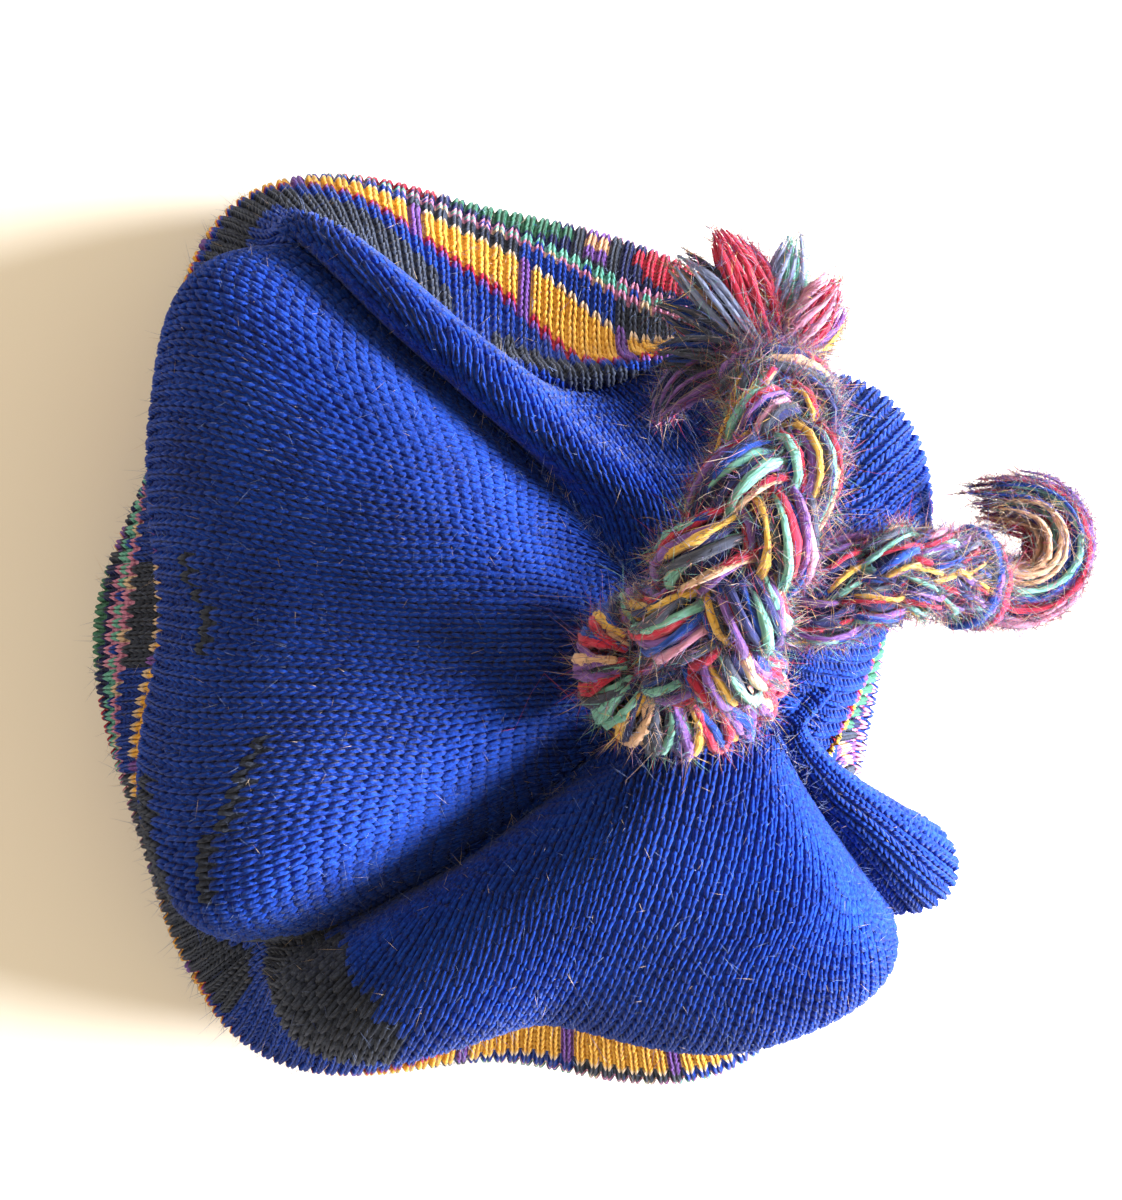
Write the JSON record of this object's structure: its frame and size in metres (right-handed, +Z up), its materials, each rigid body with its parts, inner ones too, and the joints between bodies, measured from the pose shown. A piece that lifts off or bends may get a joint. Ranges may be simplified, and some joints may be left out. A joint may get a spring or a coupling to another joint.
{
  "type": "knitted beanie with plaited topknot",
  "caption": "Hollow knitted beanie standing on its rim, its crown gathered into deep folds under a topknot of plaited yarn tails that end in tied tassels.",
  "frame": {"origin": "under the middle of the whole, on the plane of the rim", "axes": "+Z up from the rim to the crown, +X towards the side that the lower plait hangs over, +Y towards the tassel of the upper plait"},
  "size_m": [0.1824, 0.1792, 0.1495],
  "materials": {
    "blue_knit": "soft stocking-stitch knit in royal blue with patterned bands",
    "mixed_yarn": "fuzzy yarn of several colours",
    "crimson_yarn": "fuzzy yarn, mostly crimson",
    "teal_yarn": "fuzzy yarn, mostly teal",
    "mustard_yarn": "fuzzy yarn, mostly mustard"
  },
  "bodies": {
    "root": {"knit_shell": "blue_knit", "topknot_root": "mixed_yarn", "plait_a_strand_1": "crimson_yarn", "plait_a_strand_2": "teal_yarn", "plait_a_strand_3": "mustard_yarn", "tie_a": "mixed_yarn", "tassel_a": "mixed_yarn", "plait_b_strand_1": "crimson_yarn", "plait_b_strand_2": "teal_yarn", "plait_b_strand_3": "mustard_yarn", "tie_b": "mixed_yarn", "tassel_b": "mixed_yarn"}
  },
  "joints": []
}
